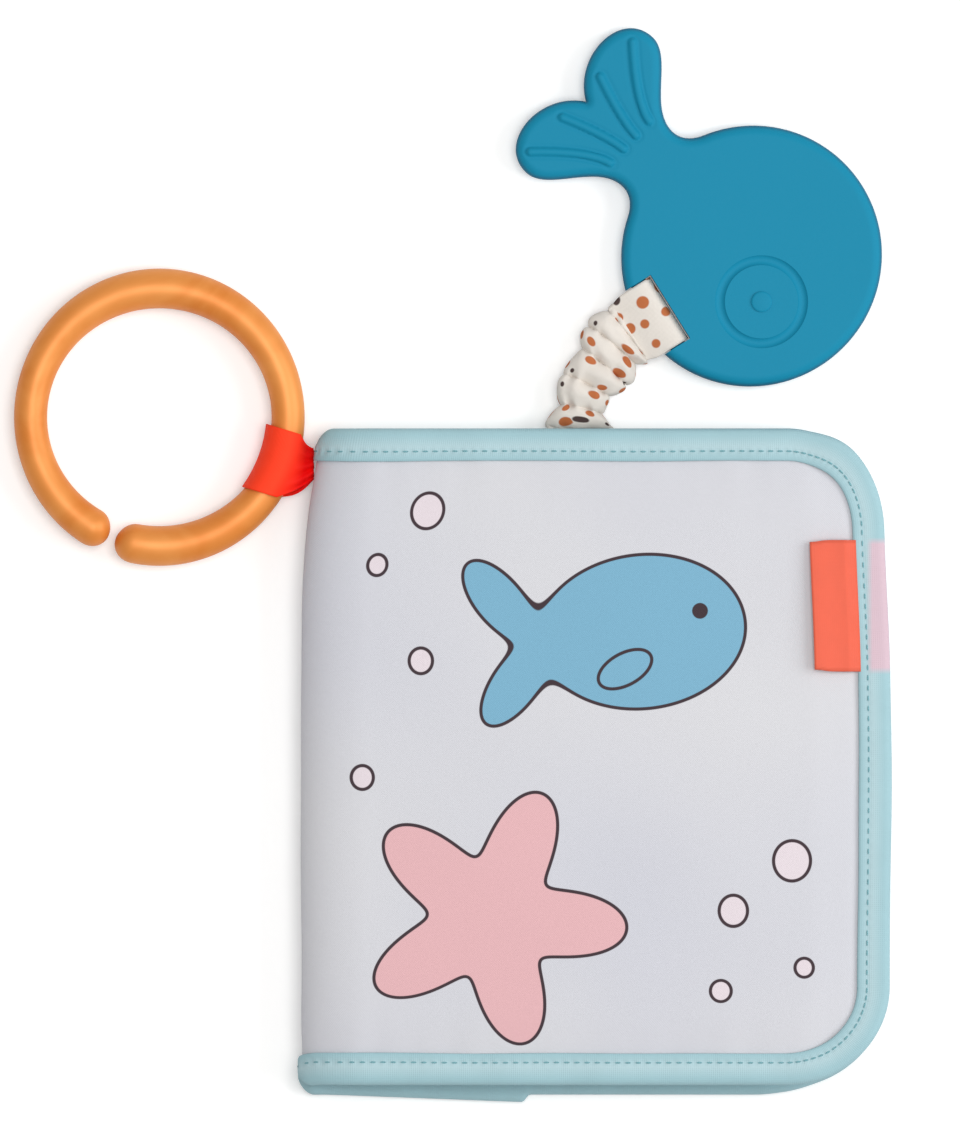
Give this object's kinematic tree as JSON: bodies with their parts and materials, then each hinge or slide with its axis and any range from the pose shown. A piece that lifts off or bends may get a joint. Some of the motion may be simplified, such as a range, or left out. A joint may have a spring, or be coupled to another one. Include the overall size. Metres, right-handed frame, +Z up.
{
  "type": "bath book",
  "caption": "Padded fabric bath book with bound edges, a link ring on a ribbon at the spine and a flat fish-shaped teether on a gathered elastic strap.",
  "frame": {"origin": "middle of the flat underside of the back cover, with the book closed and lying on it", "axes": "+X from the spine to the fore edge, +Y from the bottom edge to the top edge where the teether hangs, +Z up out of the front cover"},
  "size_m": [0.2106, 0.256, 0.0195],
  "materials": {
    "cover_cloth": "matte printed cloth",
    "page_cloth": "matte printed cloth",
    "binding_tape": "matte ribbed tape",
    "padding_foam": "matte foam",
    "red_ribbon": "satin ribbon",
    "coral_label": "satin tape",
    "pearl_plastic": "pearly gloss",
    "teether_silicone": "matte silicone",
    "dotted_cloth": "matte printed cloth",
    "elastic_web": "matte woven elastic",
    "crinkle_foil": "clear film",
    "squeaker_plastic": "smooth"
  },
  "bodies": {
    "root": {"back_outer_skin": "cover_cloth", "back_padding": "padding_foam", "back_lining": "page_cloth", "back_binding": "binding_tape", "spine_skin": "cover_cloth", "spine_lining": "page_cloth", "spine_binding_top": "binding_tape", "spine_binding_bottom": "binding_tape", "inner_sheet_fold": "page_cloth", "strap_anchor": "dotted_cloth"},
    "front_cover": {"front_outer_skin": "cover_cloth", "front_padding": "padding_foam", "front_lining": "page_cloth", "front_binding": "binding_tape"},
    "upper_leaf": {"upper_leaf_front_sheet": "page_cloth", "upper_leaf_back_sheet": "page_cloth", "upper_leaf_padding": "padding_foam", "upper_leaf_binding": "binding_tape", "squeaker_shell": "squeaker_plastic", "squeaker_reed": "squeaker_plastic"},
    "lower_leaf": {"lower_leaf_front_sheet": "page_cloth", "lower_leaf_back_sheet": "page_cloth", "lower_leaf_padding": "padding_foam", "lower_leaf_binding": "binding_tape", "crinkle_film": "crinkle_foil"},
    "label": {"side_label": "coral_label"},
    "ribbon": {"ring_ribbon": "red_ribbon"},
    "ring": {"link_ring": "pearl_plastic"},
    "strap": {"strap_sleeve": "dotted_cloth", "strap_elastic": "elastic_web"},
    "band": {"strap_end_band": "dotted_cloth"},
    "teether": {"teether": "teether_silicone"}
  },
  "joints": [
    {"name": "cover_hinge", "type": "hinge", "parent": "root", "child": "front_cover", "pos_m": [-0.0716, 0, 0.0148], "axis": [0, -1, 0], "range_deg": [0, 180]},
    {"name": "upper_leaf_hinge", "type": "hinge", "parent": "root", "child": "upper_leaf", "pos_m": [-0.0606, 0, 0.0111], "axis": [0, -1, 0], "range_deg": [0, 117.1]},
    {"name": "lower_leaf_hinge", "type": "hinge", "parent": "root", "child": "lower_leaf", "pos_m": [-0.0606, 0, 0.0064], "axis": [0, -1, 0], "range_deg": [0, 57.7]},
    {"name": "label_flip", "type": "hinge", "parent": "front_cover", "child": "label", "pos_m": [0.0625, 0.0372, 0.019], "axis": [0, 1, 0], "range_deg": [0, 160]},
    {"name": "ribbon_swing", "type": "hinge", "parent": "root", "child": "ribbon", "pos_m": [-0.06885, 0.07149, 0.0056], "axis": [0, -1, 0], "range_deg": [-40, 40]},
    {"name": "ring_turn", "type": "hinge", "parent": "ribbon", "child": "ring", "pos_m": [-0.105, 0.0826, 0.0056], "axis": [0, 0, 1], "range_deg": [-245, 70]},
    {"name": "strap_lift", "type": "hinge", "parent": "root", "child": "strap", "pos_m": [-0.0042, 0.0803, 0.0049], "axis": [1, 0, 0], "range_deg": [-60, 60]},
    {"name": "strap_stretch", "type": "slide", "parent": "strap", "child": "band", "axis": [0.4552, 0.8892, -0.0457], "range_m": [0, 0.03], "stiffness_N_per_m": 60, "deforming": ["strap_sleeve", "strap_elastic"]},
    {"name": "teether_fold", "type": "hinge", "parent": "band", "child": "teether", "pos_m": [0.01507, 0.10732, 0.0038], "axis": [0.5299, -0.848, 0], "range_deg": [-75, 75]}
  ],
  "couplings": [
    {"joint": "upper_leaf_hinge", "follows": "cover_hinge", "ratio": 0.65},
    {"joint": "lower_leaf_hinge", "follows": "cover_hinge", "ratio": 0.32}
  ]
}
